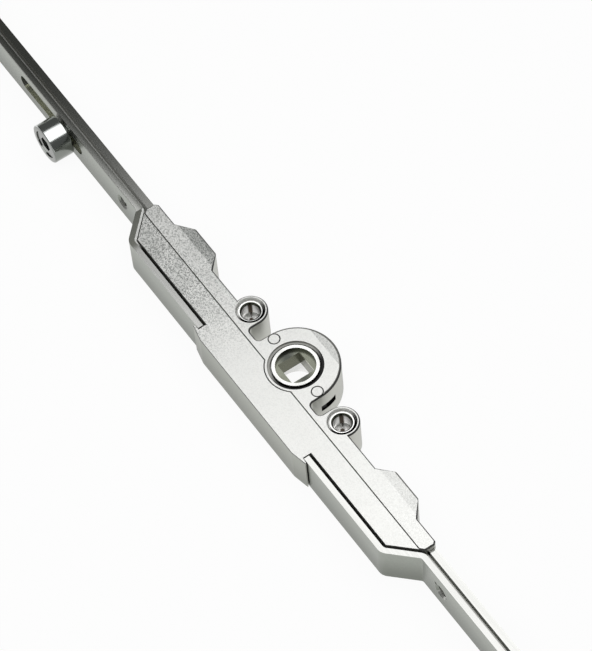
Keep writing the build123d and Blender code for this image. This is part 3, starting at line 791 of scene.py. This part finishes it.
# Rivets: plated steel pins, peened flush with the castings and the rods.
# Two join the rear case's halves. Of the others, one joins each rod to the rack bar and one guides it.
rivet_light = (0.80, 0.80, 0.78)
rivet_dark = (0.25, 0.25, 0.24)
rivet_metallic = 0.9
rivet_roughness = 0.40
rivet_speck_share = 0.15
rivet_bump_distance = 0.00003
rivet_bump_strength = 0.4


def rivet_material():
    """Plated rivet steel with faint specks, and a ring painted dark as shade where a case rivet meets the
    casting.
    """
    material, tree, shader = new_material("plated_rivet", rivet_metallic, rivet_roughness)
    grain = place_group(tree, cast_grain)
    specks = product_node(tree, grain.outputs["Specks"], rivet_speck_share)
    colour = mix_node(tree, specks, rivet_light, rivet_dark)
    where = place_group(tree, place_axes)
    reach = length_node(tree, local_node(tree, where, case_rivet_offset))
    # Painted shade: a dark ring in the groove round a case rivet.
    rim = product_node(
        tree, within_node(tree, reach, rivet_reach),
        beyond_node(tree, reach, rivet_rim),
    )
    colour = mix_node(tree, rim, colour, casting_edge_shade)
    tree.links.new(colour, shader.inputs["Base Color"])
    bump_node(tree, grain.outputs["Height"], rivet_bump_distance, rivet_bump_strength, shader)
    return material


dress(
    (
        "case_rivet_left", "case_rivet_right", "guide_rivet_left", "guide_rivet_right",
        "coupling_rivet_left", "coupling_rivet_right",
    ),
    rivet_material(),
)


# Handle bushes: turned steel, bright plated, with a cupped mouth and a real M5 thread in each hole.
# Each is held in a boss of the rear case, and stands here in the place of the plain bush.
turned_light = (0.90, 0.90, 0.89)
turned_dark = (0.30, 0.28, 0.26)
cup_dark = (0.16, 0.17, 0.14)
bore_streak_dark = (0.06, 0.045, 0.03)
bush_roughness = 0.14
bore_roughness = 0.38
turned_metallic = 1.0
turned_cloud_share = 0.12
turned_bump_distance = 0.000008
turned_bump_strength = 0.15
bush_radius = 0.0036
bush_half_height = 0.0055
bush_bevel = 0.00035
bush_rim_radius = 0.00322
cup_radius = 0.0029
cup_depth = 0.0011
cup_rows = 8
smooth_bore_radius = 0.00245
smooth_bore_depth = 0.0030
streak_half_width = 0.0004
streak_across = (0.486, 0.874, 0.0)
thread_core_radius = 0.0021
thread_depth = 0.00035
thread_pitch = 0.0008
thread_rows_a_turn = 8
round_steps = 72
bush_crease = math.radians(40)


def turned_material(name, light, end_shade_colour, under_shade_colour, roughness):
    """Bright turned steel with faint marks, painted shade on end faces and undersides, and round a bush a
    dark streak and painted light and shade.
    """
    material, tree, shader = new_material(name, turned_metallic, roughness)
    look = place_group(tree, facing)
    grain = place_group(tree, cast_grain)
    where = place_group(tree, place_axes)
    # Painted shade on undersides and end faces.
    colour = mix_node(tree, look.outputs["Under"], light, under_shade_colour)
    colour = mix_node(tree, look.outputs["Front"], colour, end_shade_colour)
    clouds = product_node(tree, grain.outputs["Clouds"], turned_cloud_share)
    colour = mix_node(tree, clouds, colour, turned_dark)
    # Round a bush, the recess wall and bevel are painted white and lit on one side, black on the shaded
    # side: painted light and shade.
    from_boss = local_node(tree, where, boss_offset)
    reach = length_node(tree, from_boss)
    in_rim = within_node(tree, reach, bush_rim_radius)
    wall = math_node(tree, "SUBTRACT", within_node(tree, reach, boss_recess_reach), in_rim)
    shade = shade_node(tree, toward_node(tree, from_boss, rightward), bush_radius)
    wall_colour = mix_node(tree, shade, casting_boss_groove_lit, casting_recess_shade)
    colour = mix_node(tree, wall, colour, wall_colour)
    in_bore = within_node(tree, reach, smooth_bore_radius)
    cup = math_node(tree, "SUBTRACT", within_node(tree, reach, cup_radius), in_bore)
    colour = mix_node(tree, cup, colour, cup_dark)
    on_bore = within_node(tree, reach, smooth_bore_radius + mask_softness)
    # A dark streak down each bore.
    bore = product_node(tree, on_bore, look.outputs["Side"])
    off_streak = absolute_node(tree, toward_node(tree, from_boss, streak_across))
    streak = ramp_node(tree, off_streak, streak_half_width, 2 * streak_half_width)
    streak = product_node(tree, bore, opposite_node(tree, streak))
    colour = mix_node(tree, streak, colour, bore_streak_dark)
    tree.links.new(colour, shader.inputs["Base Color"])
    tree.links.new(blend_node(tree, bore, roughness, bore_roughness), shader.inputs["Roughness"])
    lit_wall = product_node(tree, wall, opposite_node(tree, shade))
    metallic = blend_node(tree, lit_wall, turned_metallic, groove_metallic)
    tree.links.new(metallic, shader.inputs["Metallic"])
    bump_node(tree, grain.outputs["Height"], turned_bump_distance, turned_bump_strength, shader)
    return material


def turned_piece(name, rows, radius_at, axis, centre, material, crease):
    """A closed ring of turned metal. Rows are (radius, height) points once round the section."""
    count = len(rows)
    corners = []
    for step in range(round_steps):
        angle = 2 * math.pi * step / round_steps
        for radius, height in rows:
            reach = radius_at(radius, height, step / round_steps)
            if axis == "Z":
                place = (reach * math.cos(angle), reach * math.sin(angle), height)
            else:
                place = (reach * math.cos(angle), height, -reach * math.sin(angle))
            corners.append([a + b for a, b in zip(centre, place)])
    faces = []
    for step in range(round_steps):
        here = step * count
        there = (step + 1) % round_steps * count
        for row in range(count):
            after = (row + 1) % count
            faces.append((here + row, there + row, there + after, here + after))
    mesh = bpy.data.meshes.new(name)
    mesh.from_pydata(corners, [], faces)
    mesh.shade_smooth()
    mesh.set_sharp_from_angle(angle=crease)
    mesh.materials.append(material)
    piece = bpy.data.objects.new(name, mesh)
    bpy.context.scene.collection.objects.link(piece)
    return piece


def half_bush_rows():
    """The upper half of a bush's section, from its bore at mid height round to its outer wall."""
    thread_top = bush_half_height - cup_depth - smooth_bore_depth
    thread_rows = round(thread_rows_a_turn * thread_top / thread_pitch)
    rows = [(thread_core_radius, thread_top * row / thread_rows) for row in range(thread_rows + 1)]
    rows.append((smooth_bore_radius, thread_top))
    for row in range(cup_rows + 1):
        turn = math.pi / 2 * row / cup_rows
        cup_reach = cup_radius - (cup_radius - smooth_bore_radius) * math.cos(turn)
        rows.append((cup_reach, bush_half_height - cup_depth * (1.0 - math.sin(turn))))
    rows.append((bush_rim_radius, bush_half_height))
    rows.append((bush_radius, bush_half_height - bush_bevel))
    return rows


def thread_radius(radius, height, turn):
    """Cuts a helical V groove into what has the thread's core radius."""
    if radius > thread_core_radius:
        return radius
    phase = (height / thread_pitch - turn) % 1.0
    return radius + thread_depth * (1.0 - abs(2.0 * phase - 1.0))


upper_rows = half_bush_rows()
bush_rows = upper_rows + [(radius, -height) for radius, height in reversed(upper_rows[1:])]
bush_steel = turned_material("turned_bush", turned_light, turned_light, turned_light, bush_roughness)
for bush_name, side in (("handle_bush_left", -1), ("handle_bush_right", 1)):
    bush = turned_piece(
        bush_name.replace("handle", "threaded"), bush_rows, thread_radius,
        "Z", (side * boss_offset, 0.0, 0.0), bush_steel, bush_crease,
    )
    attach(bush, "case")
    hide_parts(bush_name)


# Roller cam: a turned, plated steel roller with rounded rims, on a headed pin riveted to the left rod.
# The roller turns freely on the pin, and stands here in the place of the plain one.
cam_offset = 0.1045
roller_light = (0.66, 0.68, 0.67)
# The roller's and pin's end faces and undersides are painted darker: painted shade.
roller_end_shade = (0.20, 0.21, 0.195)
roller_under_shade = (0.24, 0.255, 0.235)
roller_radius = 0.0059
roller_back = -0.00765
roller_front = -0.0137
roller_rim = 0.0004
roller_bore = 0.00305
roller_recess = 0.00425
roller_recess_depth = 0.00145
rim_rows = 5
roller_roughness = 0.16
pin_roughness = 0.18
roller_crease = math.radians(50)

roller_rows = [(roller_bore, roller_back), (roller_bore, roller_front + roller_recess_depth)]
roller_rows.append((roller_recess, roller_front + roller_recess_depth))
roller_rows.append((roller_recess, roller_front))
for rim_centre, start_angle in ((roller_front + roller_rim, -90.0), (roller_back - roller_rim, 0.0)):
    for row in range(rim_rows + 1):
        angle = math.radians(start_angle + 90.0 * row / rim_rows)
        roller_rows.append((
            roller_radius - roller_rim + roller_rim * math.cos(angle),
            rim_centre + roller_rim * math.sin(angle),
        ))
roller_steel = turned_material("turned_roller", roller_light, roller_end_shade, roller_under_shade, roller_roughness)
roller = turned_piece(
    "roller", roller_rows, lambda radius, height, turn: radius,
    "Y", (-cam_offset, 0.0, 0.0), roller_steel, roller_crease,
)
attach(roller, "cam_roller")
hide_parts("cam_roller")
pin_steel = turned_material("turned_pin", roller_light, roller_end_shade, roller_under_shade, pin_roughness)
dress(("cam_pin",), pin_steel)
